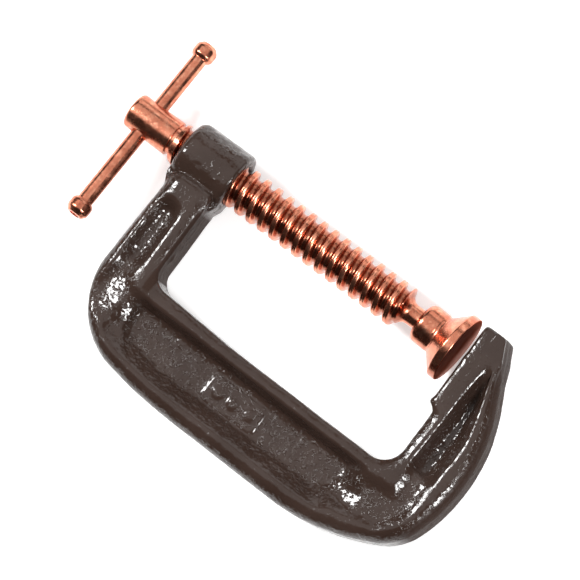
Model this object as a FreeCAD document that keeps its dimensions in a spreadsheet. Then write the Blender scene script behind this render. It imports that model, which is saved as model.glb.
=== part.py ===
# C-clamp with a 63.5 mm (2 1/2 in) opening, a swivel pad and a sliding tommy bar. Units: mm.
#
# Frame of the part: the clamp lies on its side. The origin is the point where the screw's axis
# meets the anvil face, +X runs along the screw from the anvil to the head, +Y runs from the
# screw to the spine of the frame, and +Z is up, across the thickness of the casting.
import FreeCAD, Part
import math
import os
import Sketcher
from FreeCAD import Placement, Rotation, Vector

SIZES = {
    # jaw
    "jaw_gap": 76.4,             # anvil face to the boss's inner face
    "throat": 34.9,              # screw's axis to the spine, at mid-span
    "throat_shallow": 1.5,       # how much less deep the throat is at the boss's end
    "throat_deep": 0.9,          # how much deeper it is at the anvil's end
    "throat_bend": 50.0,         # where the spine's inner wall changes its slope
    # casting
    "thickness": 16.6,           # across the flats of the C
    "spine_depth": 25.8,         # the spine from the throat to its outer edge
    "arm_width": 13.9,
    "nose_radius": 4.2,          # rounding of the outer edges
    "crown_width": 2.6,          # the throat's rim slopes down towards the throat, over this width
    "crown_drop": 1.2,           # and by this much
    "crown_lean": 65.0,          # degrees, from the wall
    "edge_radius": 0.9,          # rounding of the anvil's edges
    "throat_radius": 4.6,        # inner corner beside the boss's arm
    "anvil_throat_radius": 6.5,  # inner corner beside the anvil's arm
    "corner_radius": 22.4,       # outer corner below the boss's arm
    "belly_radius": 58.0,        # where the spine's outer edge turns up to the heel
    "heel_radius": 16.0,
    "heel_back": 15.3,           # where the anvil arm's back turns into the heel
    "heel_depth": 50.7,
    "back_radius": 48.0,         # back of the anvil's arm
    "back_bulge": 23.7,
    "back_place": 24.2,
    "belly_place": 5.8,          # where the heel turns into the spine's outer edge
    "belly_bend": 62.0,          # where that edge starts to rise towards the boss's arm
    "belly_rise": 1.1,
    "gentle_bend": 120.0,        # radius of the slight bends along the spine
    "throat_sag": 0.15,
    "corner_flare": 1.2,
    "corner_rise": 5.8,
    "arm_taper": 0.7,
    "arm_end": 5.0,              # where the arm's faces end, beside the boss
    "arm_shoulder": 3.6,
    "tip_rounding": 1.2,
    "toe_slope": 1.8,
    "toe_rounding": 0.6,
    # boss
    "boss_radius": 8.65,
    "boss_length": 17.0,
    "boss_rounding": 2.2,
    "boss_inner_rounding": 1.2,
    "boss_overhang": 1.8,        # how far the boss stands out of its arm, into the jaw
    "boss_neck_reach": 12.2,     # where the boss's neck has run out into the arm
    "boss_neck_width": 10.0,
    # anvil
    "anvil_reach": 9.2,          # anvil face beyond the screw's axis, on the open side
    "anvil_length": 24.3,
    "anvil_step": 1.9,           # how far the anvil face stands out of its arm
    "tip_width": 6.4,
    # recessed panels, on both sides of the casting
    "web": 6.6,                  # thickness left between two panels
    "arm_panel_depth": 3.3,
    "panel_draft": 40.0,         # degrees
    "rim": 3.2,                  # rim between the throat and the panels
    "arm_rim": 4.1,              # the same on the boss's arm
    "panel_corner": 2.4,
    "dish_depth": 2.4,           # the rounded corners of the C are dished between their rims
    "heel_dish_depth": 1.6,
    # raised tablet with three studs, where a maker's or size mark would be
    "mark_place": 42.0,
    "mark_depth": 46.4,
    "mark_length": 17.0,
    "mark_width": 7.6,
    "mark_height": 0.4,
    "stud_spacing": 5.0,
    "stud_radius": 1.5,
    # screw
    "pitch": 3.75,
    "crest_radius": 6.2,
    "root_radius": 4.5,
    "crest_flat": 1.45,
    "root_flat": 1.35,
    "thread_start": 20.4,
    "thread_end": 96.4,
    "crest_place": 74.0,         # a crest on the open side of the screw
    "thread_gap": 0.16,          # clearance between the screw's thread and the boss's
    "hub_radius": 5.0,
    "hub_start": 97.4,
    "hub_end": 111.2,
    "hub_rounding": 1.2,
    "hub_groove": 0.1,           # the run-out groove is this much deeper than the thread
    "neck_radius": 2.9,
    "neck_end": 18.9,
    "neck_flare": 1.6,
    "bore_mouth": 0.9,           # countersink of the boss's bore
    "ball_place": 10.7,
    "ball_radius": 4.3,
    # tommy bar and its knobs
    "bar_place": 105.8,
    "bar_radius": 2.2,
    "bar_gap": 0.1,
    "bar_angle": 10.5,           # degrees; the spine's end of the bar is lifted
    "hole_dish": 0.9,
    "spine_reach": 32.0,         # screw's axis to the knob's tip beside the spine
    "open_reach": 25.7,          # screw's axis to the other knob's tip
    "knob_radius": 3.15,
    "knob_length": 4.5,
    "tenon_radius": 1.4,
    "knob_dimple": 0.5,
    # swivel pad and the wire ring inside it
    "pad_tilt": 3.0,             # degrees
    "pad_length": 12.7,
    "pad_radius": 9.9,
    "pad_rim": 2.3,
    "ball_depth": 7.3,           # pad face to the middle of the ball
    "cup_radius": 5.7,
    "cup_length": 5.9,
    "cup_rounding": 1.8,
    "waist_radius": 5.3,
    "socket_gap": 0.12,
    "cup_mouth_radius": 3.55,
    "ring_wire": 0.55,           # radius of the wire
    "ring_radius": 3.95,         # to the middle of the wire
    "ring_groove_radius": 4.95,
    "ring_place": 3.2,           # middle of the ball to the ring
    "ring_play": 0.7,            # free space on each side of the ring, for the pad's tilt
}


def make_sheet(document):
    """The spreadsheet of driving sizes: names in column A, values with aliases in column B."""
    sheet = document.addObject("Spreadsheet::Sheet", "sizes")
    for row, (alias, value) in enumerate(SIZES.items(), start=1):
        sheet.set(f"A{row}", alias)
        sheet.set(f"B{row}", str(value))
        sheet.setAlias(f"B{row}", alias)
    document.recompute()
    return sheet


doc = FreeCAD.newDocument("c_clamp")
sizes = make_sheet(doc)


def linked(expression):
    """The expression, with each of the sheet's aliases written as sizes.alias."""
    words = expression.replace("(", " ( ").replace(")", " ) ").split()
    return " ".join("sizes." + word if word in SIZES else word for word in words)


def value_of(expression):
    """The value of an expression, in millimetres or degrees."""
    result = sizes.evalExpression(linked(expression))
    return float(getattr(result, "Value", result))


# ---------------------------------------------------------------- sketches

def origin_part(body, role):
    """One plane or axis of a body's own origin."""
    return next(part for part in body.Origin.OriginFeatures if part.Role == role)


def new_sketch(body, name, plane="XY_Plane", lift="0"):
    """A sketch on one of the body's origin planes, raised along the plane's normal."""
    sketch = body.newObject("Sketcher::SketchObject", name)
    sketch.AttachmentSupport = [(origin_part(body, plane), "")]
    sketch.MapMode = "FlatFace"
    sketch.setExpression("AttachmentOffset.Base.z", linked(lift))
    return sketch


def constrain(sketch, name, expression, *reference):
    """A named constraint whose value is an expression of the sheet."""
    kind, *rest = reference
    index = sketch.addConstraint(Sketcher.Constraint(kind, *rest, value_of(expression)))
    sketch.renameConstraint(index, name)
    sketch.setExpression("Constraints." + name, linked(expression))


def pin(sketch, name, geometry, position, x, y):
    """Fix one point of the sketch by its two coordinates."""
    constrain(sketch, name + "_x", x, "DistanceX", -1, 1, geometry, position)
    constrain(sketch, name + "_y", y, "DistanceY", -1, 1, geometry, position)


def rounding(before, corner, after, radius):
    """The circle that rounds a corner, its two tangent points and the turn's sign."""
    into = (corner - before).normalize()
    out = (after - corner).normalize()
    half_turn = into.getAngle(out) / 2
    reach = radius * math.tan(half_turn)
    centre = corner + (out - into).normalize() * (radius / math.cos(half_turn))
    left = into.cross(out).z > 0
    return Part.Circle(centre, Vector(0, 0, 1), radius), corner - into * reach, corner + out * reach, left


def add_arc(sketch, circle, start, end, left):
    """Add the rounding arc; returns its index and which of its ends comes first."""
    first, last = (start, end) if left else (end, start)
    arc = Part.ArcOfCircle(circle, circle.parameter(first), circle.parameter(last))
    return sketch.addGeometry(arc), (1, 2) if left else (2, 1)


def outline(sketch, corners):
    """A closed outline of straight runs; each corner is x, y and, if it is rounded, a radius."""
    places = [Vector(value_of(corner[0]), value_of(corner[1]), 0) for corner in corners]
    count = len(corners)
    ends = []
    for i, corner in enumerate(corners):
        if len(corner) == 2:
            ends.append((places[i], places[i], None))
            continue
        radius = value_of(corner[2])
        circle, start, end, left = rounding(places[i - 1], places[i], places[(i + 1) % count], radius)
        ends.append((start, end, add_arc(sketch, circle, start, end, left)))
    runs = [
        sketch.addGeometry(Part.LineSegment(ends[i][1], ends[(i + 1) % count][0]))
        for i in range(count)
    ]
    for i, corner in enumerate(corners):
        name = f"corner{i}"
        before, after = runs[i - 1], runs[i]
        arc = ends[i][2]
        if arc is None:
            sketch.addConstraint(Sketcher.Constraint("Coincident", before, 2, after, 1))
            pin(sketch, name, after, 1, corner[0], corner[1])
            continue
        index, (first, last) = arc
        point = sketch.addGeometry(Part.Point(places[i]), True)
        pin(sketch, name, point, 1, corner[0], corner[1])
        sketch.addConstraint(Sketcher.Constraint("PointOnObject", point, 1, before))
        sketch.addConstraint(Sketcher.Constraint("PointOnObject", point, 1, after))
        sketch.addConstraint(Sketcher.Constraint("Tangent", before, 2, index, first))
        sketch.addConstraint(Sketcher.Constraint("Tangent", index, last, after, 1))
        constrain(sketch, name + "_radius", corner[2], "Radius", index)
    return sketch


def circle(sketch, name, x, y, radius):
    """A circle in a sketch."""
    place = Vector(value_of(x), value_of(y), 0)
    index = sketch.addGeometry(Part.Circle(place, Vector(0, 0, 1), value_of(radius)))
    pin(sketch, name, index, 3, x, y)
    constrain(sketch, name + "_radius", radius, "Radius", index)
    return sketch


# ---------------------------------------------------------------- features

def extrude(body, kind, name, sketch, length, midplane=False, backwards=False):
    """A Pad or a Pocket of one sketch."""
    feature = body.newObject("PartDesign::" + kind, name)
    feature.Profile = sketch
    feature.setExpression("Length", linked(length))
    feature.SideType = "Symmetric" if midplane else "One side"
    feature.Reversed = backwards
    return feature


def turn(body, kind, name, corners):
    """A Revolution or a Groove about the body's X axis, of an outline in its XY plane."""
    sketch = outline(new_sketch(body, name + "_sketch"), corners)
    feature = body.newObject("PartDesign::" + kind, name)
    feature.Profile = sketch
    feature.ReferenceAxis = (origin_part(body, "X_Axis"), [""])
    feature.Angle = 360
    return feature


def thread(body, kind, name, start, length, top, bottom, top_half, bottom_half):
    """A right-hand helical ridge or groove about the X axis, starting at start on the +Y side."""
    corners = [
        (f"{start} - {bottom_half}", bottom),
        (f"{start} - {top_half}", top),
        (f"{start} + {top_half}", top),
        (f"{start} + {bottom_half}", bottom),
    ]
    sketch = outline(new_sketch(body, name + "_sketch"), corners)
    feature = body.newObject("PartDesign::" + kind, name)
    feature.Profile = sketch
    feature.ReferenceAxis = (origin_part(body, "X_Axis"), [""])
    feature.Mode = "pitch-height-angle"
    feature.setExpression("Pitch", linked("pitch"))
    feature.setExpression("Height", linked(length))
    feature.Angle = 0
    feature.LeftHanded = False
    return feature


def fillet(body, name, radius, edges):
    """Round the edges of the body's last feature that the test picks."""
    doc.recompute()
    base = body.Tip
    names = [
        f"Edge{i}" for i, edge in enumerate(base.Shape.Edges, start=1) if edges(edge)
    ]
    feature = body.newObject("PartDesign::Fillet", name)
    feature.Base = (base, names)
    feature.setExpression("Radius", linked(radius))
    doc.recompute()
    return feature


def new_body(label):
    """An empty body with its own label."""
    body = doc.addObject("PartDesign::Body", label)
    body.Label = label
    return body


def middle(edge):
    """The middle point of an edge."""
    return edge.valueAt((edge.FirstParameter + edge.LastParameter) / 2)


# ---------------------------------------------------------------- frame

BOSS_END = "jaw_gap + boss_length"
ARM_INNER = "jaw_gap + boss_overhang"
ARM_OUTER = ARM_INNER + " + arm_width"
THROAT_NEAR = "throat - throat_shallow"
THROAT_FAR = "throat + throat_deep"
SPINE_OUTER = "throat + spine_depth"
TOE = "anvil_length - anvil_reach"

FRAME_OUTLINE = [
    ("0", "0 - anvil_reach", "tip_rounding"),
    ("0 - tip_width", "0 - anvil_reach"),
    ("0 - back_bulge", "back_place", "back_radius"),
    ("0 - heel_back", "heel_depth", "heel_radius"),
    ("belly_place", SPINE_OUTER, "belly_radius"),
    ("belly_bend", SPINE_OUTER + " - belly_rise", "gentle_bend"),
    (ARM_OUTER + " + corner_flare", SPINE_OUTER + " - corner_rise", "corner_radius"),
    (ARM_OUTER + " - arm_taper", "arm_end"),
    (ARM_INNER, "arm_end"),
    (ARM_INNER, THROAT_NEAR, "throat_radius"),
    ("throat_bend", "throat + throat_sag", "gentle_bend"),
    ("0 - anvil_step", THROAT_FAR, "anvil_throat_radius"),
    ("0 - anvil_step", TOE + " + toe_slope", "tip_rounding"),
    ("0", TOE, "toe_rounding"),
]
BOSS_NECK_OUTLINE = [
    ("jaw_gap + 0.2", "0"),
    ("jaw_gap + 0.2", "boss_radius - 0.5", "3"),
    (ARM_INNER + " + 0.3", "boss_neck_reach"),
    (ARM_OUTER + " - 1", "boss_neck_reach"),
    (BOSS_END + " - 0.2", "boss_radius - 1", "3"),
    (BOSS_END + " - 0.2", "0"),
]
CROWN_WALL = "0 - anvil_step - crown_width"
THROAT_CROWN = [
    (CROWN_WALL + " - 0.1", TOE + " + 1.6"),
    (CROWN_WALL + " + 0.4", THROAT_FAR + " + crown_width", "anvil_throat_radius + crown_width"),
    ("throat_bend", "throat + throat_sag + crown_width", "gentle_bend"),
    (ARM_INNER + " + crown_width", THROAT_NEAR + " + crown_width", "throat_radius + crown_width"),
    (ARM_INNER + " + crown_width", "2"),
    (ARM_INNER + " - 6", "2"),
    (ARM_INNER + " - 12", TOE),
    ("12", TOE + " + 8"),
    ("3", TOE + " - 1"),
]
ARM_PANEL = [
    (ARM_INNER + " + arm_rim", "12.8", "panel_corner"),
    (ARM_INNER + " + arm_rim", THROAT_NEAR + " + 0.4", "panel_corner"),
    (ARM_OUTER + " - 2", THROAT_NEAR + " + 0.4", "panel_corner"),
    (ARM_OUTER + " - 2.2", "12.8", "panel_corner"),
]
CORNER_DISH = [
    (ARM_INNER + " + arm_rim + 0.4", "25"),
    (ARM_INNER + " + arm_rim + 0.4", THROAT_NEAR + " + rim"),
    ("70", "throat + rim + 0.5"),
    ("70", SPINE_OUTER + " - 6"),
    ("80", SPINE_OUTER + " - 7.6"),
    (ARM_OUTER + " - 2.6", SPINE_OUTER + " - 18"),
    (ARM_OUTER + " - 2.2", "25"),
]
CORNER_FLOOR = [
    (ARM_INNER + " + arm_rim + 3", "28"),
    (ARM_INNER + " + arm_rim + 3", THROAT_NEAR + " + rim + 3"),
    ("74", "throat + rim + 4"),
    ("74", SPINE_OUTER + " - 10"),
    ("79", SPINE_OUTER + " - 11"),
    (ARM_OUTER + " - 5.6", SPINE_OUTER + " - 19"),
    (ARM_OUTER + " - 5", "28"),
]
HEEL_DISH = [
    ("8", "throat + rim + 1.5"),
    ("-5.6", THROAT_FAR + " + rim"),
    ("-5.6", "28"),
    ("-14.2", "28"),
    ("-14.2", "43"),
    ("-9", SPINE_OUTER + " - 9.6"),
    ("8", SPINE_OUTER + " - 6"),
]
HEEL_FLOOR = [
    ("5", "throat + rim + 4"),
    ("-8", THROAT_FAR + " + rim + 2.4"),
    ("-8", "31"),
    ("-11", "31"),
    ("-11", "42"),
    ("-7", SPINE_OUTER + " - 12"),
    ("5", SPINE_OUTER + " - 10"),
]
# The spine's and the anvil arm's panels have a steep wall beside the throat and a gentle outer one.
SPINE_PANEL = [
    ("79.6", THROAT_NEAR + " + rim + 1.2", "panel_corner"),
    ("80.6", SPINE_OUTER + " - 7.4", "8"),
    ("62", SPINE_OUTER + " - 5.4", "60"),
    ("1.5", SPINE_OUTER + " - 5", "9"),
    ("1.5", THROAT_FAR + " + rim - 0.2", "panel_corner"),
]
SPINE_FLOOR = [
    ("76.6", THROAT_NEAR + " + rim + 3.5", "2"),
    ("76", SPINE_OUTER + " - 12.4", "6"),
    ("62", SPINE_OUTER + " - 10.2", "60"),
    ("8", SPINE_OUTER + " - 10", "7"),
    ("8", THROAT_FAR + " + rim + 2.2", "2"),
]
ANVIL_PANEL = [
    ("-6.3", "-3.2", "0.6"),
    ("-7.9", "-3.2", "0.6"),
    ("-14.3", "18", "30"),
    ("-13.8", "34", "panel_corner"),
    ("-5.2", "34", "panel_corner"),
    ("-5.9", "16", "30"),
]
ANVIL_FLOOR = [
    ("-8.3", "3", "0.3"),
    ("-9.1", "3", "0.3"),
    ("-10.6", "18", "30"),
    ("-10.4", "30.5", "1"),
    ("-7.8", "30.5", "1"),
    ("-8.2", "16", "30"),
]
MARK_START = "mark_place - mark_length / 2"
MARK_END = "mark_place + mark_length / 2"
MARK_NEAR = "mark_depth - mark_width / 2"
MARK_FAR = "mark_depth + mark_width / 2"
MARK_PAD = [
    (MARK_START, MARK_NEAR, "tip_rounding"),
    (MARK_END, MARK_NEAR, "tip_rounding"),
    (MARK_END, MARK_FAR, "tip_rounding"),
    (MARK_START, MARK_FAR, "tip_rounding"),
]
MARK_STUDS = ["mark_place - stud_spacing", "mark_place", "mark_place + stud_spacing"]

# Half widths of the thread's ridge, measured along the screw.
CREST_HALF = "crest_flat / 2"
ROOT_HALF = "( pitch - root_flat ) / 2"
FLANK_LEAN = f"( {ROOT_HALF} - {CREST_HALF} ) / ( crest_radius - root_radius )"
THREAD_BITE = "0.3"  # how far a thread's cutter or ridge reaches into the round it stands on


def on_a_face(edge):
    """Whether an edge lies in the casting's upper or lower face."""
    return edge.BoundBox.ZLength < 0.01 and abs(abs(middle(edge).z) - value_of("thickness / 2")) < 0.01


def on_the_outside(edge):
    """Whether an edge of a face belongs to the back of the C, from the anvil's tip to the boss."""
    x, y, z = middle(edge)
    behind_anvil = x < value_of("0 - tip_width") - 0.05
    behind_arm = x > value_of(ARM_OUTER) - 2
    return on_a_face(edge) and (y > value_of("throat + rim") or behind_anvil or behind_arm)


def on_the_anvil(edge):
    """Whether an edge of a face belongs to the anvil face."""
    x, y, z = middle(edge)
    return on_a_face(edge) and abs(x) < 0.7 and y < value_of(TOE) + 1


def above_the_arm(edge):
    """Whether an edge is where the arm's face ends, beside the boss."""
    x, y, z = middle(edge)
    return on_a_face(edge) and abs(y - value_of("arm_end")) < 0.01


def add_boss(body):
    """The round boss and the neck that blends it into the arm."""
    neck = outline(new_sketch(body, "boss_neck_outline"), BOSS_NECK_OUTLINE)
    extrude(body, "Pad", "boss_neck", neck, "boss_neck_width", midplane=True)
    turn(body, "Revolution", "boss", [
        ("jaw_gap", "0"),
        ("jaw_gap", "boss_radius", "boss_inner_rounding"),
        (BOSS_END, "boss_radius", "boss_rounding"),
        (BOSS_END, "0"),
    ])


def cut_bore(body):
    """The boss's threaded bore, with a countersink at each mouth."""
    bore = "root_radius + thread_gap"
    mouth = "crest_radius + bore_mouth"
    turn(body, "Groove", "bore", [
        ("jaw_gap - 1", "0"),
        ("jaw_gap - 1", mouth),
        ("jaw_gap + bore_mouth", bore),
        (BOSS_END + " - bore_mouth", bore),
        (BOSS_END + " + 1", mouth),
        (BOSS_END + " + 1", "0"),
    ])
    thread(
        body, "SubtractiveHelix", "bore_thread", "crest_place - pitch / 2", "pitch * 7",
        top="crest_radius + thread_gap",
        bottom=f"{bore} - {THREAD_BITE}",
        top_half=f"{CREST_HALF} + thread_gap - {FLANK_LEAN} * thread_gap",
        bottom_half=f"{ROOT_HALF} + thread_gap + {FLANK_LEAN} * ( {THREAD_BITE} - thread_gap )",
    )


def sloped_pocket(body, name, corners, depth, slope):
    """A pocket in the upper face whose walls lean outwards."""
    sketch = new_sketch(body, name + "_outline", lift="thickness / 2")
    pocket = extrude(body, "Pocket", name, outline(sketch, corners), depth)
    pocket.setExpression("TaperAngle", linked("0 - " + slope))
    return pocket


def lofted_pocket(body, name, corners, floor_corners, floor="web / 2"):
    """A pocket from an outline in the upper face down to a smaller one on its floor."""
    top = outline(new_sketch(body, name + "_outline", lift="thickness / 2"), corners)
    bottom = outline(new_sketch(body, name + "_floor_outline", lift=floor), floor_corners)
    pocket = body.newObject("PartDesign::SubtractiveLoft", name)
    pocket.Profile = top
    pocket.Sections = [bottom]
    pocket.Ruled = True
    return pocket


def add_panels(body):
    """Slope the throat's rim, dish the corners and recess three panels, on both faces."""
    pockets = [
        sloped_pocket(body, "throat_crown", THROAT_CROWN, "crown_drop", "crown_lean"),
        lofted_pocket(body, "corner_dish", CORNER_DISH, CORNER_FLOOR, "thickness / 2 - dish_depth"),
        lofted_pocket(body, "heel_dish", HEEL_DISH, HEEL_FLOOR, "thickness / 2 - heel_dish_depth"),
        sloped_pocket(body, "arm_panel", ARM_PANEL, "arm_panel_depth", "panel_draft"),
        lofted_pocket(body, "spine_panel", SPINE_PANEL, SPINE_FLOOR),
        lofted_pocket(body, "anvil_panel", ANVIL_PANEL, ANVIL_FLOOR),
    ]
    mirrored = body.newObject("PartDesign::Mirrored", "panels_of_the_other_face")
    mirrored.Originals = pockets
    mirrored.MirrorPlane = (origin_part(body, "XY_Plane"), [""])
    body.Tip = mirrored


def add_mark(body):
    """A plain raised tablet with three round studs, on the upper side's web."""
    tablet = outline(new_sketch(body, "mark_outline", lift="web / 2 - 0.1"), MARK_PAD)
    extrude(body, "Pad", "mark_tablet", tablet, "mark_height + 0.1")
    studs = new_sketch(body, "stud_circles", lift="web / 2")
    for i, place in enumerate(MARK_STUDS):
        circle(studs, f"stud{i}", place, "mark_depth", "stud_radius")
    extrude(body, "Pad", "mark_studs", studs, "mark_height * 2")


def make_frame():
    """The casting: a C of even thickness with rounded outer edges, a threaded boss and an anvil."""
    body = new_body("frame")
    plate = outline(new_sketch(body, "frame_outline"), FRAME_OUTLINE)
    extrude(body, "Pad", "plate", plate, "thickness", midplane=True)
    fillet(body, "nose", "nose_radius", on_the_outside)
    fillet(body, "anvil_edges", "edge_radius", on_the_anvil)
    fillet(body, "arm_shoulders", "arm_shoulder", above_the_arm)
    add_panels(body)
    add_boss(body)
    cut_bore(body)
    add_mark(body)
    return body


# ---------------------------------------------------------------- screw

def around_the_hole(edge):
    """Whether an edge is a mouth of the hub's cross hole."""
    box = edge.BoundBox
    hole_width = value_of("( bar_radius + bar_gap ) * 2")
    on_the_hub = abs(middle(edge).y) > value_of("hub_radius") - 1
    centred = abs(box.Center.x - value_of("bar_place")) < 0.2
    return on_the_hub and centred and abs(box.XLength - hole_width) < 0.5


def make_screw():
    """One piece: ball and neck, rolled thread, and a hub with a cross hole for the bar."""
    body = new_body("screw")
    turn(body, "Revolution", "core", [
        ("ball_place", "0"),
        ("ball_place", "root_radius"),
        ("hub_start + 2", "root_radius"),
        ("hub_start + 2", "0"),
    ])
    start = "crest_place - pitch / 2 + pitch * bar_angle / 360 - pitch * 15"
    thread(
        body, "AdditiveHelix", "screw_thread", start, f"thread_end + 1.2 - ( {start} )",
        top="crest_radius",
        bottom=f"root_radius - {THREAD_BITE}",
        top_half=CREST_HALF,
        bottom_half=f"{ROOT_HALF} + {FLANK_LEAN} * {THREAD_BITE}",
    )
    turn(body, "Groove", "neck", [
        ("ball_place - 2", "neck_radius"),
        ("neck_end", "neck_radius", "neck_flare"),
        ("thread_start", "root_radius + 0.3"),
        ("thread_start + 1.4", "crest_radius + 0.8"),
        ("ball_place - 2", "crest_radius + 0.8"),
    ])
    turn(body, "Groove", "run_out", [
        ("thread_end - 2.6", "crest_radius + 0.1"),
        ("thread_end", "hub_radius + 0.5"),
        ("thread_end", "root_radius - hub_groove"),
        ("hub_start + 2.5", "root_radius - hub_groove"),
        ("hub_start + 2.5", "crest_radius + 0.8"),
        ("thread_end - 2.6", "crest_radius + 0.8"),
    ])
    turn(body, "Revolution", "hub", [
        ("hub_start", "0"),
        ("hub_start", "hub_radius", "0.3"),
        ("hub_end", "hub_radius", "hub_rounding"),
        ("hub_end", "0"),
    ])
    ball = body.newObject("PartDesign::AdditiveSphere", "ball")
    ball.AttachmentSupport = [(origin_part(body, "YZ_Plane"), "")]
    ball.MapMode = "FlatFace"
    ball.setExpression("AttachmentOffset.Base.z", linked("ball_place"))
    ball.setExpression("Radius", linked("ball_radius"))
    hole = new_sketch(body, "hole_circle", "XZ_Plane")
    circle(hole, "hole", "bar_place", "0", "bar_radius + bar_gap")
    extrude(body, "Pocket", "cross_hole", hole, "hub_radius * 2 + 2", midplane=True)
    fillet(body, "hole_mouths", "hole_dish", around_the_hole)
    body.Placement = Placement(Vector(), Rotation(Vector(1, 0, 0), value_of("bar_angle")))
    return body


# ---------------------------------------------------------------- tommy bar

def lay_along_bar(body, reach):
    """Place a piece whose own X axis points along the bar, reach from the screw's axis."""
    along = Rotation(Vector(1, 0, 0), value_of("bar_angle")) * Rotation(Vector(0, 0, 1), 90)
    if reach < 0:
        along = along * Rotation(Vector(0, 0, 1), 180)
    place = Vector(value_of("bar_place"), 0, 0) + along.multVec(Vector(abs(reach), 0, 0))
    body.Placement = Placement(place, along)


def make_bar():
    """The sliding bar, with a thinner tenon at each end for its knob."""
    body = new_body("tommy_bar")
    open_end = "0 - open_reach"
    turn(body, "Revolution", "bar", [
        (open_end + " + knob_dimple", "0"),
        (open_end + " + knob_dimple", "tenon_radius"),
        (open_end + " + knob_length", "tenon_radius"),
        (open_end + " + knob_length", "bar_radius"),
        ("spine_reach - knob_length", "bar_radius"),
        ("spine_reach - knob_length", "tenon_radius"),
        ("spine_reach - knob_dimple", "tenon_radius"),
        ("spine_reach - knob_dimple", "0"),
    ])
    lay_along_bar(body, 0)
    return body


def make_knob(label, reach):
    """A rounded knob on one end of the bar; the tenon shows as a dimple in its tip."""
    body = new_body(label)
    turn(body, "Revolution", label + "_turned", [
        ("0 - knob_length", "tenon_radius"),
        ("0 - knob_length", "knob_radius - 0.55", "0.25"),
        ("0.9 - knob_length", "knob_radius", "1.2"),
        ("-1.3", "knob_radius", "1.5"),
        ("0", "knob_radius - 1", "0.5"),
        ("0", "tenon_radius"),
    ])
    lay_along_bar(body, reach)
    return body


# ---------------------------------------------------------------- swivel pad

PAD_BACK = "pad_length - ball_depth"
RING_ROOM = "ring_wire + ring_play"


def make_pad():
    """The swivel pad, drawn about the middle of the ball: flange, waist and hollow cup."""
    body = new_body("swivel_pad")
    turn(body, "Revolution", "pad_turned", [
        ("0 - ball_depth", "0"),
        ("0 - ball_depth", "pad_radius", "0.5"),
        ("pad_rim - ball_depth", "pad_radius", "0.5"),
        (PAD_BACK + " - cup_length - 0.2", "waist_radius", "1"),
        (PAD_BACK + " - cup_length + 0.4", "cup_radius", "0.2"),
        (PAD_BACK, "cup_radius", "cup_rounding"),
        (PAD_BACK, "0"),
    ])
    turn(body, "Groove", "socket", [
        ("0", "0"),
        ("0", "ball_radius + socket_gap"),
        ("ring_place - ( " + RING_ROOM + " )", "ball_radius + socket_gap"),
        ("ring_place - ( " + RING_ROOM + " )", "ring_groove_radius"),
        ("ring_place + " + RING_ROOM, "ring_groove_radius"),
        ("ring_place + " + RING_ROOM, "cup_mouth_radius"),
        (PAD_BACK + " + 0.5", "cup_mouth_radius"),
        (PAD_BACK + " + 0.5", "0"),
    ])
    cup = body.newObject("PartDesign::SubtractiveSphere", "ball_seat")
    cup.AttachmentSupport = [(origin_part(body, "YZ_Plane"), "")]
    cup.MapMode = "FlatFace"
    cup.setExpression("Radius", linked("ball_radius + socket_gap"))
    tilt = Rotation(Vector(0, 0, 1), -value_of("pad_tilt"))
    body.Placement = Placement(Vector(value_of("ball_place"), 0, 0), tilt)
    return body


def make_ring():
    """The wire ring behind the ball, which keeps the pad on the screw."""
    ring = doc.addObject("Part::Torus", "pad_retaining_ring")
    ring.Label = "pad_retaining_ring"
    ring.setExpression("Radius1", linked("ring_radius"))
    ring.setExpression("Radius2", linked("ring_wire"))
    place = Vector(value_of("ball_place + ring_place"), 0, 0)
    ring.Placement = Placement(place, Rotation(Vector(0, 1, 0), 90))
    return ring


# ---------------------------------------------------------------- check and export

def check_document():
    """Stop if any object of the document has failed."""
    doc.recompute()
    for item in doc.Objects:
        if {"Invalid", "Error"} & set(item.State):
            raise RuntimeError(f"{item.Name} failed: {item.State}")


def export(part):
    """Write one sub-part's solid to its own STEP file."""
    shape = part.Shape
    if shape.isNull() or not shape.isValid() or len(shape.Solids) != 1:
        raise RuntimeError(f"{part.Label} is not one valid solid")
    box = shape.BoundBox
    print(f"{part.Label}: {shape.Volume:.1f} mm3, x {box.XMin:.2f} to {box.XMax:.2f}")
    shape.exportStep(f"parts/{part.Label}.step")


os.makedirs("parts", exist_ok=True)
parts = [
    make_frame(),
    make_screw(),
    make_bar(),
    make_knob("bar_knob_spine_end", value_of("spine_reach")),
    make_knob("bar_knob_open_end", -value_of("open_reach")),
    make_pad(),
    make_ring(),
]
check_document()
for part in parts:
    export(part)
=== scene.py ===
"""C-clamp: an enamelled cast frame with a copper-plated screw, swivel pad and tommy bar.

The frame of the scene is the CAD model's: the origin is where the screw's axis meets the anvil
face, +X runs along the screw to its head, +Y towards the spine of the frame, and +Z is up.
Shapes are given in millimetres. Materials, lights and the bench are in metres, as Blender is.
"""
import math

import bmesh
import bpy
import numpy as np
from mathutils import Matrix, Vector, noise


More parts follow.
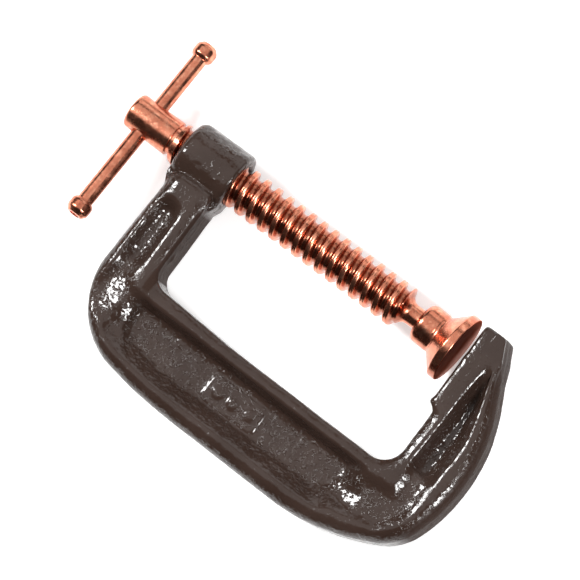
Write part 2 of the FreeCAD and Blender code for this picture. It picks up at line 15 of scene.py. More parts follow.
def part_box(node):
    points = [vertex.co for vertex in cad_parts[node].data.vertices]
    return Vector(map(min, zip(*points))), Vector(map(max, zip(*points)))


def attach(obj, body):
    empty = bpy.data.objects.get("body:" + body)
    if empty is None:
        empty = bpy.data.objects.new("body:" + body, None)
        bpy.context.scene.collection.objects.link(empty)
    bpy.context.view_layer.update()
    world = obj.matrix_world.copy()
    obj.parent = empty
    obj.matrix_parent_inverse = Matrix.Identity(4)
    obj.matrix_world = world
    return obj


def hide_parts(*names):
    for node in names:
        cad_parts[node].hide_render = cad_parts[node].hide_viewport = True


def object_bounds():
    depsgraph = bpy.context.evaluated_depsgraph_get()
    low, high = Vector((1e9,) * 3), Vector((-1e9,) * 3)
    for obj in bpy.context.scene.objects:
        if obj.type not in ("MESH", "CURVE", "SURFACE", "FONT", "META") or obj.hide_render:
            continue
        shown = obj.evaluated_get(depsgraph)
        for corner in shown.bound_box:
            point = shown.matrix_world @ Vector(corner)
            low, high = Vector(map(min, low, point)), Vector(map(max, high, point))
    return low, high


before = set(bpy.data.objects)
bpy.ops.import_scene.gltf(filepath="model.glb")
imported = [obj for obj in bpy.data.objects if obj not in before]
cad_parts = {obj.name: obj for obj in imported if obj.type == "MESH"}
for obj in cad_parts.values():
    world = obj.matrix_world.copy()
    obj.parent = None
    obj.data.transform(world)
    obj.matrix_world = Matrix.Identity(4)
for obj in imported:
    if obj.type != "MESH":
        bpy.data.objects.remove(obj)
cad_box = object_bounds()

MM = 0.001
MERGE = 1e-7                # points nearer than this, in metres, become one

# The screw's thread, as in the CAD model.
PITCH = 3.75
CREST_RADIUS = 6.2
ROOT_RADIUS = 4.5
CREST_HALF = 0.725          # half widths of the ridge, along the screw
ROOT_HALF = 1.2
CREST_PLACE = 74.0          # a crest on the open side of the screw
THREAD_GAP = 0.16           # clearance of the boss's thread round the screw's

# The ridge as rolling leaves it.
CREST_FLAT = 0.35           # half width of the flat top
CREST_FALL = 0.22           # from the top to the shoulders
SEAM_DEPTH = 0.13           # a faint groove along the middle of the top
SEAM_HALF = 0.22
FLANK_FOOT = 0.1            # how much further than ROOT_HALF the flanks reach
ROOT_RISE = 0.06            # how much higher the root is beside the flanks

# The screw's other shapes, as in the CAD model but for how the thread starts and ends.
BALL_PLACE = 10.7           # the middle of the ball
BALL_RADIUS = 4.3
NECK_RADIUS = 2.9
RISE_START = 19.0           # the thread rises from the neck here
RISE_LENGTH = 2.7
RISE_HEIGHT = 3.7
FALL_START = 93.8           # its crests fall from here, by this much
FALL_END = 96.4
FALL_DROP = 0.9
GROOVE_START = 96.2         # and it ends in a groove before the hub
GROOVE_WALL = 2.2
GROOVE_RADIUS = ROOT_RADIUS - 0.1
HUB_START = 97.4
HUB_RADIUS = 5.0
HUB_ROUNDING = 1.2

# The pad and the bar, as in the CAD model.
BALL_DEPTH = 7.3            # from the middle of the ball to the pad's face
PAD_TILT = math.radians(3)
BAR_PLACE = 105.8
BAR_ANGLE = math.radians(10.5)
BAR_RADIUS = 2.2
BAR_GAP = 0.1               # clearance of the hole round the bar

# The casting.
JAW_GAP = 76.4              # anvil face to the boss
BOSS_LENGTH = 17.0
HALF_THICKNESS = 8.3        # middle to the rims
VOXEL = 0.30                # grid of the remeshed skin
SOFTENING = 60              # how far the panels' creases are rounded
MARK_MIDDLE = (42.0, 46.4)  # the raised tablet's
MARK_HALF = (8.8, 4.1)      # half its sides, and a little more
PANEL_FADE = (-1.5, 10.0)   # the anvil arm's panel deepens over this stretch
# Small lumps the casting was left with: place, height and spread.
CASTING_LUMPS = [
    ((-0.3, 14.9, 6.5), 0.5, 1.0),      # burr where the anvil face ends
    ((78.2, 25.6, 3.0), 0.5, 1.2),      # nub on the inside of the boss's arm
    ((91.0, 1.5, 8.0), 0.22, 1.6),
    ((79.0, -6.4, 5.5), 0.25, 1.8),
]
# Sloping saddles between the panels, on both sides: middle, half widths, height at the middle
# and how steeply they fall towards the screw's head.
SADDLES = [
    ((84.9, 42.4), (5.2, 7.2), 6.7, 0.266),
    ((3.4, 47.6), (5.0, 3.6), 5.4, 0.298),
]

# The camera looks nearly straight down, from afar. Its angles are in radians.
LEAN = 0.2030               # to the anvil's side
SIDE_LEAN = 0.006           # to the spine's side
ROLL = 0.6374               # about the line of sight
DISTANCE = 1900.0
VIEW_WIDTH = 151.0          # what the picture's width takes in, at the target
TARGET = (48.71, 13.76, 0.0)


# ---------------------------------------------------------------- meshes

def new_object(name, mesh):
    """Link a new object for the mesh."""
    obj = bpy.data.objects.new(name, mesh)
    bpy.context.scene.collection.objects.link(obj)
    return obj


def mesh_of(name, points, faces):
    """A mesh from points in millimetres."""
    mesh = bpy.data.meshes.new(name)
    mesh.from_pydata([Vector(p) * MM for p in points], [], faces)
    mesh.validate()
    return mesh


def bake_modifier(obj, kind, **settings):
    """Add one modifier and apply it to the object's mesh."""
    modifier = obj.modifiers.new(kind.lower(), kind)
    for key, value in settings.items():
        setattr(modifier, key, value)
    depsgraph = bpy.context.evaluated_depsgraph_get()
    mesh = bpy.data.meshes.new_from_object(obj.evaluated_get(depsgraph))
    obj.modifiers.clear()
    old = obj.data
    obj.data = mesh
    bpy.data.meshes.remove(old)


def cut(obj, cutter):
    """Subtract the cutter from the object, and delete the cutter."""
    bake_modifier(obj, "BOOLEAN", operation="DIFFERENCE", object=cutter, solver="EXACT")
    bpy.data.objects.remove(cutter)


def on_circle(x, radius, angle):
    """A point at the angle round the X axis."""
    return (x, radius * math.cos(angle), radius * math.sin(angle))


def ring(x, radius, sides):
    """Points all round the X axis."""
    return [on_circle(x, radius, 2 * math.pi * j / sides) for j in range(sides)]


def ring_faces(a, b, sides):
    """The faces between two rings, given the numbers of their first points."""
    return [(a + j, a + (j + 1) % sides, b + (j + 1) % sides, b + j) for j in range(sides)]


def lathe(name, profile, sides=96, axis=None):
    """A closed solid turned about the X axis, or laid along another axis, from (x, radius) pairs."""
    points, faces = [], []
    for x, radius in profile:
        points += ring(x, radius, sides)
    last = len(points) - sides
    for start in range(0, last, sides):
        faces += ring_faces(start, start + sides, sides)
    faces.append(tuple(range(sides))[::-1])
    faces.append(tuple(range(last, last + sides)))
    obj = new_object(name, mesh_of(name, points, faces))
    if axis is not None:
        place, direction = axis
        turn = Vector((1, 0, 0)).rotation_difference(direction).to_matrix().to_4x4()
        obj.data.transform(Matrix.Translation(Vector(place) * MM) @ turn)
    fix_normals(obj.data)
    return obj


def fix_normals(mesh):
    """Make every face look outwards."""
    work = bmesh.new()
    work.from_mesh(mesh)
    bmesh.ops.recalc_face_normals(work, faces=work.faces)
    work.to_mesh(mesh)
    work.free()


def smooth(obj, sharp_degrees):
    """Smooth shading, with edges steeper than the angle left sharp."""
    for polygon in obj.data.polygons:
        polygon.use_smooth = True
    obj.data.set_sharp_from_angle(angle=math.radians(sharp_degrees))


def coordinates(mesh):
    """The vertices in millimetres."""
    flat = np.empty(len(mesh.vertices) * 3)
    mesh.vertices.foreach_get("co", flat)
    return flat.reshape(-1, 3) / MM


def vertex_normals(mesh):
    """The vertices' normals, one row each."""
    flat = np.empty(len(mesh.vertices) * 3, np.float32)
    mesh.vertex_normals.foreach_get("vector", flat)
    return flat.reshape(-1, 3).astype(float)


def move_vertices(mesh, points):
    """Put the vertices at new places, in millimetres."""
    mesh.vertices.foreach_set("co", (points * MM).ravel())
    mesh.update()


def blend_in(low, high, value):
    """0 below low, 1 above high, and a smooth step between."""
    t = np.clip((value - low) / (high - low), 0, 1)
    return t * t * (3 - 2 * t)


# ---------------------------------------------------------------- thread

def ridge(u):
    """Radius of the thread at u millimetres along the screw from the middle of its ridge."""
    u = abs((u + PITCH / 2) % PITCH - PITCH / 2)
    shoulder = CREST_RADIUS - CREST_FALL
    flank_end = ROOT_HALF + FLANK_FOOT
    if u < CREST_HALF:
        edge = max(0.0, u - CREST_FLAT) / (CREST_HALF - CREST_FLAT)
        seam = SEAM_DEPTH * math.exp(-((u / SEAM_HALF) ** 2))
        return CREST_RADIUS - seam - CREST_FALL * edge ** 2
    if u < flank_end:
        # A flank is part straight, part rounded at its top and foot.
        t = (u - CREST_HALF) / (flank_end - CREST_HALF)
        t = t * t * (3 - 2 * t) * 0.6 + t * 0.4
        return shoulder - (shoulder - ROOT_RADIUS - ROOT_RISE) * t
    return ROOT_RADIUS + ROOT_RISE * (PITCH / 2 - u) / (PITCH / 2 - flank_end)


def helix_place(x, angle):
    """How far a point is from the middle of the ridge, along the screw."""
    return x - CREST_PLACE - PITCH * (angle / (2 * math.pi) - 0.5)


# Where the grid's lines follow the ridge, measured from its middle: closest at the shoulders.
TURN = (-1.2, -1.1, -0.98, -0.85, -0.76, -0.68, -0.55, -0.4, -0.2, 0.0,
        0.2, 0.4, 0.55, 0.68, 0.76, 0.85, 0.98, 1.1, 1.2, 1.5, 1.875, 2.25)


def threaded_rod(name, before, first, last, after, radius_at, sides=120):
    """A solid whose middle is a helical grid from x = first to last; its ends are plain rings.

    radius_at gives the grid's radius from x and from how far x is from the middle of the ridge.
    """
    points, faces = [], []

    def add_rings(profile):
        """Plain rings, joined up; returns the numbers of their first points."""
        starts = []
        for x, radius in profile:
            starts.append(len(points))
            points.extend(ring(x, radius, sides))
        for a, b in zip(starts, starts[1:]):
            faces.extend(ring_faces(a, b, sides))
        return starts

    end = add_rings(before)[0]
    faces.append(tuple(range(end, end + sides)))

    # The grid's lines run along the helix. They start before the first place and end past the
    # last, and what is beyond is pressed flat there.
    start = CREST_PLACE + PITCH * math.floor((first - CREST_PLACE) / PITCH - 2)
    turns = int((last - first) / PITCH) + 5
    lines = [start + PITCH * turn + step for turn in range(turns) for step in TURN]
    grid = len(points)
    for line in lines:
        for j in range(sides):
            angle = 2 * math.pi * j / sides
            x = min(max(line + PITCH * (angle / (2 * math.pi) - 0.5), first), last)
            points.append(on_circle(x, radius_at(x, helix_place(x, angle)), angle))
    per_turn = len(TURN)
    for i in range(len(lines) - 1):
        a, b = grid + i * sides, grid + (i + 1) * sides
        for j in range(sides - 1):
            faces.append((a + j, a + j + 1, b + j + 1, b + j))
        # Each line's last point meets the first point of the line one turn on.
        if i + 1 + per_turn < len(lines):
            faces.append((b - 1, a + per_turn * sides, b + per_turn * sides, b + sides - 1))

    end = add_rings(after)[-1]
    faces.append(tuple(range(end, end + sides))[::-1])
    obj = new_object(name, mesh_of(name, points, faces))
    work = bmesh.new()
    work.from_mesh(obj.data)
    bmesh.ops.remove_doubles(work, verts=work.verts, dist=MERGE)
    bmesh.ops.dissolve_degenerate(work, edges=work.edges, dist=MERGE)
    loose = [v for v in work.verts if not v.link_faces]
    bmesh.ops.delete(work, geom=loose, context="VERTS")
    bmesh.ops.recalc_face_normals(work, faces=work.faces)
    work.to_mesh(obj.data)
    work.free()
    return obj


# ---------------------------------------------------------------- casting

def make_tap():
    """The void of the threaded bore, with a countersink at each mouth."""
    beyond, mouth_depth, mouth_slope = 1.0, 1.2, 1.2
    near, far = JAW_GAP, JAW_GAP + BOSS_LENGTH
    first, last = near - beyond, far + beyond
    bore = ROOT_RADIUS + THREAD_GAP

    def radius_at(x, u):
        """The boss's thread, or its countersinks where they are wider."""
        mouth = max(0.0, near + mouth_depth - x, x - (far - mouth_depth))
        return max(ridge(u) + THREAD_GAP, bore + mouth_slope * mouth)

    wide = bore + mouth_slope * (mouth_depth + beyond)
    return threaded_rod("tap", [(first - beyond, wide), (first, wide)], first, last,
                        [(last, wide), (last + beyond, wide)], radius_at)


def make_casting():
    """The frame as cast and enamelled: softened edges, uneven skin, and the CAD's threaded bore."""
    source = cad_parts["frame"]
    casting = new_object("frame_casting", source.data.copy())
    # A plug fills the bore while the skin is worked; the tap opens it again at the end.
    inset, plug_radius = 0.6, 7.0
    plug = lathe("plug", [(JAW_GAP + inset, plug_radius), (JAW_GAP + BOSS_LENGTH - inset, plug_radius)])
    work = bmesh.new()
    work.from_mesh(casting.data)
    bmesh.ops.remove_doubles(work, verts=work.verts, dist=MERGE)
    work.from_mesh(plug.data)
    work.to_mesh(casting.data)
    work.free()
    bpy.data.objects.remove(plug)
    casting.data.materials.clear()
    bake_modifier(casting, "REMESH", mode="VOXEL", voxel_size=VOXEL * MM, adaptivity=0)
    bake_modifier(casting, "SMOOTH", factor=0.5, iterations=10)
    soften_panels(casting)
    skin_as_cast(casting.data)
    cut(casting, make_tap())
    smooth(casting, 40)
    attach(casting, "frame")
    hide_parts("frame")
    return casting


def on_the_mark(points):
    """1 on the raised tablet and its studs, 0 elsewhere."""
    aside = (np.abs(points[:, :2] - MARK_MIDDLE) - MARK_HALF).max(axis=1)
    margin = 1.2
    return (1 - blend_in(0.0, margin, aside)) * (points[:, 2] > 0)


def soften_panels(casting):
    """Round the creases of the panels and dishes, but keep the outline and the raised mark."""
    points = coordinates(casting.data)
    normals = vertex_normals(casting.data)
    x, y, height = points[:, 0], points[:, 1], np.abs(points[:, 2])
    facing_up_or_down = blend_in(0.15, 0.35, np.abs(normals[:, 2]))
    clear_of_boss = np.clip(blend_in(9.5, 12.0, y) + (x < JAW_GAP / 2), 0, 1)
    weight = facing_up_or_down * clear_of_boss * blend_in(2.0, 3.0, height)
    weight *= 1 - on_the_mark(points)
    group = casting.vertex_groups.new(name="soft")
    steps = 10
    for step in range(1, steps + 1):
        chosen = np.flatnonzero(np.round(weight * steps) == step)
        group.add([int(i) for i in chosen], step / steps, "REPLACE")
    bake_modifier(casting, "SMOOTH", factor=0.5, iterations=SOFTENING, vertex_group="soft")


def unevenness(points, per_mm, shift=(0, 0, 0)):
    """Smooth noise at each point, from about -1 to 1."""
    return np.array([noise.noise(Vector(p) * per_mm + Vector(shift)) for p in points])


def skin_as_cast(mesh):
    """Real unevenness of the skin: long swells, lumps on the edges, and pebbly panels."""
    points = coordinates(mesh)
    normals = vertex_normals(mesh)
    height = np.abs(points[:, 2])
    upright = np.abs(normals[:, 2])
    # Where it is boss-like, near the screw's axis, and where it is the sunk floor of a panel.
    boss = 1 - blend_in(8.5, 10.5, np.hypot(points[:, 1], points[:, 2]))
    sunk = (1 - blend_in(6.4, 7.9, height)) * blend_in(0.30, 0.65, upright) * (1 - boss)
    sunk *= 1 - on_the_mark(points)
    swell = unevenness(points, 0.16)
    lump = unevenness(points, 0.48, (7, 3, 1))
    grain = unevenness(points, 1.5, (2, 9, 5))
    out = 0.07 * swell + 0.06 * lump + 0.016 * grain + 0.05 * boss * lump
    out += sunk * (0.06 * lump + 0.075 * grain + 0.03)
    for place, size, spread in CASTING_LUMPS:
        out += size * np.exp(-((points - place) ** 2).sum(axis=1) / spread ** 2)
    points = points + normals * out[:, None]

    # Saddles draw both faces to a sloping level, fully at their middle and hardly past their edge.
    side = np.sign(points[:, 2])
    on_a_face = blend_in(0.25, 0.5, upright) * (height > 2)
    for place, half, level, fall in SADDLES:
        away = (((points[:, :2] - place) / half) ** 2).sum(axis=1)
        target = level - fall * (points[:, 0] - place[0]) + 0.12 * lump + 0.05 * grain
        points[:, 2] += side * on_a_face * np.exp(-away ** 2) * (target - np.abs(points[:, 2]))

    # The anvil arm's panel starts shallow: near the tip its floor is raised almost to the rims.
    panel_edge, back_rim, rim_inside, share = -3.5, 11.5, 9.0, 0.85
    in_panel = (points[:, 0] < panel_edge) & (points[:, 1] < PANEL_FADE[1]) & (normals[:, 2] * side > 0.2)
    near_tip = 1 - blend_in(*PANEL_FADE, points[:, 1])
    raised = in_panel * near_tip * blend_in(back_rim, rim_inside, -points[:, 0])
    points[:, 2] += side * raised * share * (HALF_THICKNESS - np.abs(points[:, 2]))
    move_vertices(mesh, points)


# ---------------------------------------------------------------- screw

def ball_and_neck():
    """The (x, radius) pairs of the ball, its fillet and the neck, up to the thread's grid."""
    steps, fillet = 28, 0.35
    pairs = []
    for k in range(1, steps):
        angle = math.pi * k / steps
        x = BALL_PLACE - BALL_RADIUS * math.cos(angle)
        radius = BALL_RADIUS * math.sin(angle)
        if x > BALL_PLACE and radius < NECK_RADIUS + fillet:
            break
        pairs.append((x, radius))
    return pairs + [(BALL_PLACE + 3.25, NECK_RADIUS + 0.12), (BALL_PLACE + 3.6, NECK_RADIUS)]


def groove_and_hub(hub_end):
    """The (x, radius) pairs of the run-out groove and the hub, whose edges are rounded."""
    pairs = [(HUB_START, GROOVE_RADIUS), (HUB_START, HUB_RADIUS - 0.25), (HUB_START + 0.1, HUB_RADIUS - 0.08),
             (HUB_START + 0.35, HUB_RADIUS)]
    # Rings all along the hub keep its faces short where the hole cuts them.
    pairs += [(HUB_START + 0.6 + 1.4 * k, HUB_RADIUS) for k in range(9)]
    for degrees in range(0, 91, 9):
        angle = math.radians(degrees)
        pairs.append((hub_end - HUB_ROUNDING + HUB_ROUNDING * math.sin(angle),
                      HUB_RADIUS - HUB_ROUNDING + HUB_ROUNDING * math.cos(angle)))
    return pairs + [(hub_end, 2.0)]


def screw_radius(x, u):
    """The ridge, held down where it rises from the neck and where it falls into the groove."""
    radius = ridge(u)
    if x < RISE_START + RISE_LENGTH:
        t = max(0.0, x - RISE_START) / RISE_LENGTH
        rise = RISE_HEIGHT * (1 - math.sqrt(max(0.0, 1 - t * t))) + 0.2 * t
        radius = min(radius, NECK_RADIUS + rise)
    if x > FALL_START:
        radius = min(radius, CREST_RADIUS - FALL_DROP * (x - FALL_START) / (FALL_END - FALL_START))
    if x > GROOVE_START:
        wall = GROOVE_WALL * (FALL_END - min(x, FALL_END)) / (FALL_END - GROOVE_START)
        radius = min(radius, GROOVE_RADIUS + wall)
    return radius


def make_screw():
    """Ball, neck, rolled thread, run-out and hub, with a cross hole for the bar."""
    box_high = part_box("screw")[1]
    first, last = 17.2, 96.9            # the grid runs from on the neck to in the groove
    before = ball_and_neck() + [(first, NECK_RADIUS)]
    after = [(last, GROOVE_RADIUS)] + groove_and_hub(box_high.x / MM)
    screw = threaded_rod("screw_turned", before, first, last, after, screw_radius)

    # Half of the hole's profile, from its middle: a straight bore and a dished mouth.
    bore = BAR_RADIUS + BAR_GAP
    half = [(0.0, bore), (3.4, bore), (3.9, bore + 0.07), (4.3, bore + 0.26), (4.7, bore + 0.58),
            (5.1, bore + 1.1), (6.5, bore + 2.9)]
    profile = [(-s, radius) for s, radius in half[:0:-1]] + half
    along = Vector((0, math.cos(BAR_ANGLE), math.sin(BAR_ANGLE)))
    cut(screw, lathe("hole", profile, sides=64, axis=((BAR_PLACE, 0, 0), along)))
    smooth(screw, 50)
    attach(screw, "screw")
    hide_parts("screw")
    return screw


# ---------------------------------------------------------------- materials

class Nodes:
    """A short way to build one material's nodes, all of them in the object's own coordinates."""

    def __init__(self, name):
        self.material = bpy.data.materials.new(name)
        self.material.use_nodes = True
        self.tree = self.material.node_tree
        self.shader = self.tree.nodes["Principled BSDF"]
        self.place = self.node("ShaderNodeTexCoord").outputs["Object"]

    def node(self, kind, **settings):
        """A new node with these settings."""
        node = self.tree.nodes.new(kind)
        for key, value in settings.items():
            setattr(node, key, value)
        return node

    def link(self, source, target):
        """Feed one socket from another."""
        self.tree.links.new(source, target)

    def set(self, **values):
        """Fix inputs of the shader; an underscore stands for a space."""
        for key, value in values.items():
            self.shader.inputs[key.replace("_", " ")].default_value = value

    def axes(self):
        """The coordinates, one by one."""
        split = self.node("ShaderNodeSeparateXYZ")
        self.link(self.place, split.inputs["Vector"])
        return split.outputs["X"], split.outputs["Y"], split.outputs["Z"]

    def scaled(self, scale):
        """The coordinates, scaled per axis."""
        mapping = self.node("ShaderNodeMapping")
        mapping.inputs["Scale"].default_value = scale
        self.link(self.place, mapping.inputs["Vector"])
        return mapping.outputs["Vector"]

    def noise(self, scale, detail=3, roughness=0.5, vector=None):
        """Noise from 0 to 1, with this many waves per metre."""
        node = self.node("ShaderNodeTexNoise")
        self.link(vector or self.place, node.inputs["Vector"])
        node.inputs["Scale"].default_value = scale
        node.inputs["Detail"].default_value = detail
        node.inputs["Roughness"].default_value = roughness
        return node.outputs["Fac"]

    def ramp(self, value, *stops):
        """Colours or plain levels at places from 0 to 1, blended in between."""
        node = self.node("ShaderNodeValToRGB")
        ramp = node.color_ramp
        while len(ramp.elements) < len(stops):
            ramp.elements.new(0.5)
        for element, (at, colour) in zip(ramp.elements, stops):
            element.position = at
            element.color = (*colour, 1) if isinstance(colour, tuple) else (colour,) * 3 + (1,)
        self.link(value, node.inputs["Fac"])
        return node.outputs["Color"]

    def math(self, operation, a, b=0):
        """Arithmetic on numbers and sockets."""
        node = self.node("ShaderNodeMath", operation=operation)
        for socket, value in zip(node.inputs, (a, b)):
            if isinstance(value, (int, float)):
                socket.default_value = value
            else:
                self.link(value, socket)
        return node.outputs["Value"]

    def product(self, a, b):
        """Both masks at once."""
        return self.math("MULTIPLY", a, b)

    def mix(self, factor, a, b):
        """From colour a to colour b as the factor goes from 0 to 1."""
        node = self.node("ShaderNodeMix", data_type="RGBA")
        for socket, value in ((node.inputs["Factor"], factor), (node.inputs["A"], a), (node.inputs["B"], b)):
            if isinstance(value, (int, float)):
                socket.default_value = value
            elif isinstance(value, tuple):
                socket.default_value = (*value, 1)
            else:
                self.link(value, socket)
        return node.outputs["Result"]

    def band(self, value, low, high, edge):
        """1 where the value is between low and high, 0 elsewhere, with soft edges."""
        rise = self.node("ShaderNodeMapRange")
        fall = self.node("ShaderNodeMapRange")
        for node, start, end in ((rise, low - edge, low), (fall, high + edge, high)):
            self.link(value, node.inputs["Value"])
            node.inputs["From Min"].default_value = start
            node.inputs["From Max"].default_value = end
        return self.product(rise.outputs["Result"], fall.outputs["Result"])

    def thread_roots(self):
        """1 in the screw's thread roots, where shade is painted, and 0 elsewhere."""
        x, y, z = self.axes()
        across = self.node("ShaderNodeCombineXYZ")
        self.link(y, across.inputs["Y"])
        self.link(z, across.inputs["Z"])
        radius = self.node("ShaderNodeVectorMath", operation="LENGTH")
        self.link(across.outputs["Vector"], radius.inputs[0])
        # A ramp's stops lie between 0 and 1, so the radius is in centimetres and x in decimetres.
        root = ROOT_RADIUS / 10
        outwards = self.math("MULTIPLY", radius.outputs["Value"], 100)
        deep = self.ramp(outwards, (root, 0.75), (root + 0.11, 0.0))
        along = self.math("MULTIPLY", x, 10)
        past_neck = self.ramp(along, (0.20, 0.0), (0.215, 1.0))
        before_hub = self.ramp(along, (0.955, 1.0), (0.965, 0.0))
        return self.product(self.product(deep, past_neck), before_hub)

    def pad_face(self):
        """Where the pad's painted shade goes: 1 on the swivel pad's tilted clamping face, less on its lower
        part, and 0 elsewhere.
        """
        x, y, z = self.axes()
        depth = self.math("SUBTRACT", self.math("MULTIPLY", x, math.cos(PAD_TILT)),
                          self.math("MULTIPLY", y, math.sin(PAD_TILT)))
        face = (BALL_PLACE * math.cos(PAD_TILT) - BALL_DEPTH) * MM
        on_face = self.band(depth, face - 0.001, face + 0.00012, 0.0001)
        upper = self.math("MAXIMUM", self.band(z, -0.0010, 0.0200, 0.0085), 0.40)
        return self.product(on_face, upper)

    def bump(self, height, strength, distance, below=None):
        """A normal bumped by the height, on top of the bumps below."""
        node = self.node("ShaderNodeBump")
        node.inputs["Strength"].default_value = strength
        node.inputs["Distance"].default_value = distance
        self.link(height, node.inputs["Height"])
        if below is not None:
            self.link(below, node.inputs["Normal"])
        return node.outputs["Normal"]

    def finish(self, colour, roughness, normal):
        """Feed the shader, and return the material."""
        self.link(colour, self.shader.inputs["Base Color"])
        self.link(roughness, self.shader.inputs["Roughness"])
        self.link(normal, self.shader.inputs["Normal"])
        return self.material


def dull_enamel(n):
    """1 where the coat is thin and dull: the throat's wall by the boss, and the anvil arm's back."""
    x, y, z = n.axes()
    boss_wall = n.product(n.band(x, 0.0770, 0.0790, 0.0004), n.band(y, 0.0120, 0.0360, 0.0020))
    # The back is a curve, and a straight slope from there to the tip.
    slant = n.math("ADD", x, n.math("MULTIPLY", y, 0.45))
    slope = n.product(n.band(slant, -0.0300, -0.0102, 0.0008), n.band(y, -0.0200, 0.0110, 0.0040))
    curve = n.band(x, -0.0300, -0.0160, 0.0030)
    below_rims = n.band(n.math("ABSOLUTE", z), -0.0010, 0.0068, 0.0010)
    return n.math("MAXIMUM", boss_wall, n.product(n.math("MAXIMUM", slope, curve), below_rims))


def enamel():
    """Thick black-brown enamel over rough cast iron, pebbly in the panels."""
    n = Nodes("enamelled_iron_look")
    n.set(IOR=1.5, Metallic=0.0)
    darker, lighter = (0.0295, 0.0170, 0.0128), (0.0395, 0.0240, 0.0188)
    colour = n.mix(n.ramp(n.noise(90, detail=4), (0.35, 0.0), (0.7, 1.0)), darker, lighter)
    roughness = n.ramp(n.noise(350), (0.3, 0.07), (0.75, 0.15))
    dull = dull_enamel(n)
    n.link(n.math("SUBTRACT", 0.38, n.math("MULTIPLY", dull, 0.35)), n.shader.inputs["Specular IOR Level"])
    roughness = n.math("ADD", roughness, n.math("MULTIPLY", dull, 0.35))
    # Pebbles fill the panels, whose floors are low, and are faint on the rims.
    height = n.math("MULTIPLY", n.math("ABSOLUTE", n.axes()[2]), 100)
    pebbly = n.ramp(height, (0.60, 1.0), (0.80, 0.25))
    pebbles = n.ramp(n.noise(950, roughness=0.6), (0.52, 0.0), (0.70, 1.0))
    peel = n.bump(n.noise(480, detail=2), 0.35, 0.00012)
    return n.finish(colour, roughness, n.bump(n.product(pebbles, pebbly), 0.75, 0.00020, peel))


def copper(name, grain, shaded_thread_roots=False, shaded_pad_face=False):
    """Satin copper plate with fine tool lines, dull red-brown patches and dark specks, and painted shade in
    the thread's roots and on the pad's face where asked.
    """
    plate, tarnish, bright = (0.69, 0.255, 0.155), (0.43, 0.13, 0.075), (0.80, 0.37, 0.24)
    # The last two colours here are painted shade, one for the thread's roots and one for the pad's face.
    speck, painted_root_shade, dark = (0.10, 0.035, 0.02), (0.22, 0.065, 0.035), (0.15, 0.040, 0.028)
    n = Nodes(name)
    n.set(Metallic=1.0)
    patches = n.noise(160, detail=5, roughness=0.65)
    blotches = n.noise(520, detail=4, roughness=0.65)
    specks = n.noise(1500, roughness=0.7)
    lines = n.noise(1.0, detail=4, roughness=0.7, vector=n.scaled(grain))
    colour = n.mix(n.ramp(patches, (0.32, 0.0), (0.70, 1.0)), plate, tarnish)
    colour = n.mix(n.ramp(blotches, (0.50, 0.0), (0.68, 0.75)), colour, bright)
    colour = n.mix(n.ramp(specks, (0.29, 0.9), (0.37, 0.0)), colour, speck)
    # Painted shade: the thread's roots are coloured darker, where shade falls between the ridges.
    if shaded_thread_roots:
        colour = n.mix(n.thread_roots(), colour, painted_root_shade)
    roughness = n.ramp(n.noise(420, detail=4), (0.3, 0.17), (0.75, 0.32))
    # Painted shade: the pad's clamping face is coloured dark and its reflection tinted red-brown, more so on
    # its upper part.
    if shaded_pad_face:
        on_face = n.pad_face()
        colour = n.mix(on_face, colour, dark)
        n.link(n.mix(on_face, (1.0, 1.0, 1.0), (0.75, 0.42, 0.35)), n.shader.inputs["Specular Tint"])
        roughness = n.math("ADD", roughness, n.math("MULTIPLY", on_face, 0.25))
    normal = n.bump(lines, 0.5, 0.00006)
    normal = n.bump(blotches, 0.30, 0.00012, normal)
    normal = n.bump(specks, 0.25, 0.00005, normal)
    return n.finish(colour, roughness, normal)


def wire():
    """Plain spring wire, for the ring inside the pad."""
    n = Nodes("spring_steel_look")
    n.set(Metallic=1.0)
    shade = n.noise(900)
    colour = n.ramp(shade, (0.3, (0.34, 0.33, 0.32)), (0.7, (0.55, 0.54, 0.53)))
    return n.finish(colour, n.ramp(shade, (0.3, 0.25), (0.7, 0.4)), n.bump(shade, 0.2, 0.00002))


def paint(obj, material):
    """Give the object one material, in every slot it has."""
    if not obj.material_slots:
        obj.data.materials.append(material)
    for slot in obj.material_slots:
        slot.material = material


# ---------------------------------------------------------------- stage

def softbox(name, place, aim, size, power):
    """A rectangular lamp."""
    light = bpy.data.lights.new(name, "AREA")
    light.shape = "RECTANGLE"
    light.size, light.size_y = size
    light.energy = power
    obj = new_object(name, light)
    obj.location = place
    obj.rotation_euler = (Vector(aim) - Vector(place)).to_track_quat("-Z", "Y").to_euler()


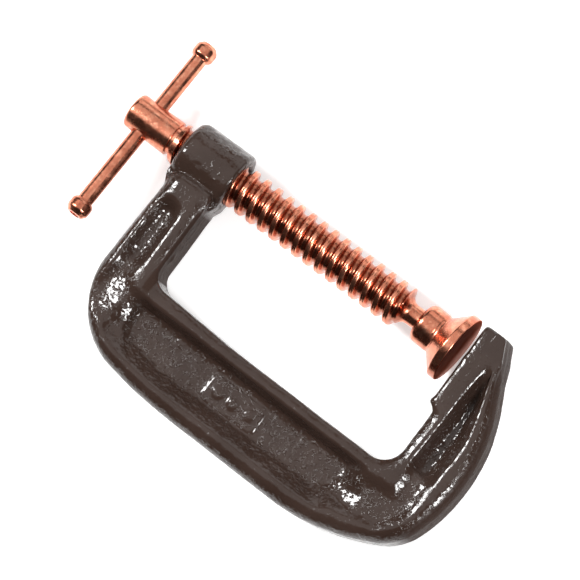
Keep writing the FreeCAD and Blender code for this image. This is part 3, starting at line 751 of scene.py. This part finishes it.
def make_stage():
    """A white bench just under the clamp, softboxes above, on the open side and at both ends."""
    half, low = 1.6, cad_box[0].z - 0.00002
    corners = ((-half, -half), (half, -half), (half, half), (-half, half))
    bench = bpy.data.meshes.new("bench")
    bench.from_pydata([(x, y, low) for x, y in corners], [], [(0, 1, 2, 3)])
    floor = new_object("bench", bench)
    n = Nodes("bench_white")
    n.set(Roughness=0.7, Emission_Color=(1, 1, 1, 1), Emission_Strength=0.42)
    tint = n.ramp(n.noise(3, detail=2), (0.3, (0.93, 0.93, 0.93)), (0.7, (0.95, 0.95, 0.95)))
    n.link(tint, n.shader.inputs["Base Color"])
    floor.data.materials.append(n.material)
    world = bpy.data.worlds.new("studio")
    world.use_nodes = True
    background = world.node_tree.nodes["Background"]
    background.inputs["Color"].default_value = (1, 1, 1, 1)
    background.inputs["Strength"].default_value = 0.04
    bpy.context.scene.world = world
    centre = (0.045, 0.022, 0)
    softbox("overhead", (0.15, -0.24, 0.9), centre, (1.7, 1.1), 5.8)
    softbox("open_side", (0.045, -1.0, 0.40), centre, (1.4, 0.5), 3.0)
    softbox("head_side", (0.72, 0.05, 0.72), centre, (0.15, 0.42), 10)
    softbox("anvil_side", (-0.66, 0.10, 0.60), centre, (0.12, 0.36), 6.5)
    bpy.context.scene.view_settings.view_transform = "Standard"


def make_camera():
    """Nearly straight down, leaning to the anvil's side, with the clamp lying across the picture."""
    upright = math.cos(SIDE_LEAN)
    back = Vector((-math.sin(LEAN) * upright, math.sin(SIDE_LEAN), math.cos(LEAN) * upright))
    right = Vector((-1, 0, 0))
    right = (right - back * right.dot(back)).normalized()
    down = Vector((0, 1, 0)) - back * back.y
    down = (down - right * down.dot(right)).normalized()
    picture_right = right * math.cos(ROLL) - down * math.sin(ROLL)
    picture_up = -(right * math.sin(ROLL) + down * math.cos(ROLL))
    data = bpy.data.cameras.new("camera")
    data.sensor_width = 36
    data.lens = data.sensor_width * DISTANCE / VIEW_WIDTH
    data.clip_start, data.clip_end = 0.05, 20
    camera = new_object("camera", data)
    turn = Matrix((picture_right, picture_up, back)).transposed().to_4x4()
    camera.matrix_world = Matrix.Translation((Vector(TARGET) + back * DISTANCE) * MM) @ turn
    bpy.context.scene.camera = camera


casting = make_casting()
screw = make_screw()
paint(casting, enamel())
# Tool lines, as waves per metre along each axis: round the screw and the pad, and along the bar.
round_screw, along_bar = (2600, 260, 260), (1400, 160, 1400)
paint(screw, copper("copper_screw", round_screw, shaded_thread_roots=True))
paint(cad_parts["swivel_pad"], copper("copper_pad", round_screw, shaded_pad_face=True))
bar_copper = copper("copper_bar", along_bar)
for node in ("tommy_bar", "bar_knob_spine_end", "bar_knob_open_end"):
    paint(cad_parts[node], bar_copper)
paint(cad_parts["pad_retaining_ring"], wire())
make_stage()
make_camera()
